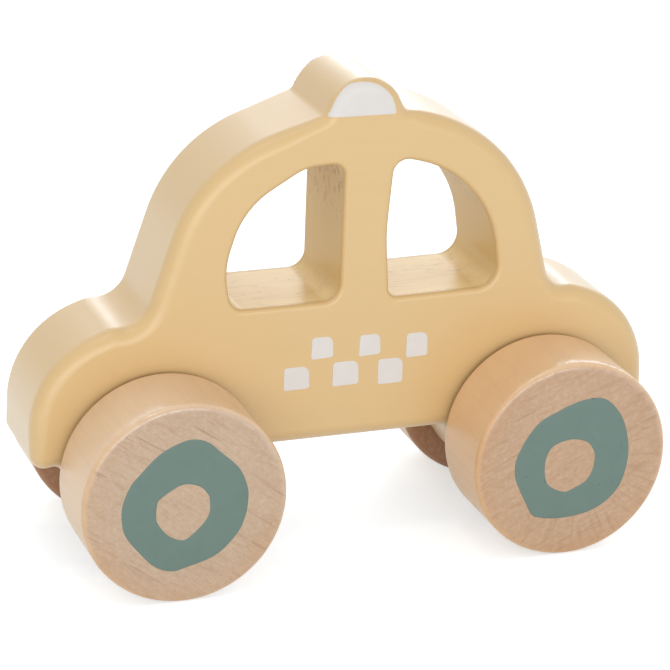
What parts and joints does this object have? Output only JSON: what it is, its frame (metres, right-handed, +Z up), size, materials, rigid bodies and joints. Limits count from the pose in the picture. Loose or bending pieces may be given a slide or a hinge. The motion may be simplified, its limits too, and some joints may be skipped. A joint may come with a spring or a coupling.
{
  "type": "wooden toy car",
  "caption": "Wooden push-along toy taxi: a thick rounded board with grip windows and a roof light, rolling on round wooden wheels fixed to dowel axles.",
  "frame": {"origin": "on the ground under the middle of the board", "axes": "+X towards the rear of the car, -Y towards its left side, +Z up"},
  "size_m": [0.1266, 0.0602, 0.0943],
  "materials": {
    "yellow_paint": "satin pale yellow paint on wood",
    "dowel": "bare sanded hardwood dowel",
    "bare_wood": "bare sanded hardwood with a thin clear coat",
    "teal_paint": "thin matt grey-green paint",
    "white_paint": "thin matt white paint"
  },
  "bodies": {
    "car": {"body": "yellow_paint", "checks_left": "white_paint", "checks_right": "white_paint", "light_patch_left": "white_paint", "light_patch_right": "white_paint"},
    "front_wheelset": {"front_axle": "dowel", "wheel_front_left": "bare_wood", "wheel_front_right": "bare_wood", "ring_front_left": "teal_paint", "ring_front_right": "teal_paint"},
    "rear_wheelset": {"rear_axle": "dowel", "wheel_rear_left": "bare_wood", "wheel_rear_right": "bare_wood", "ring_rear_left": "teal_paint", "ring_rear_right": "teal_paint"}
  },
  "joints": [
    {"name": "front_axle_roll", "type": "hinge", "parent": "car", "child": "front_wheelset", "pos_m": [-0.03845, 0, 0.02], "axis": [0, -1, 0], "continuous": true},
    {"name": "rear_axle_roll", "type": "hinge", "parent": "car", "child": "rear_wheelset", "pos_m": [0.03985, 0, 0.02], "axis": [0, -1, 0], "continuous": true}
  ]
}
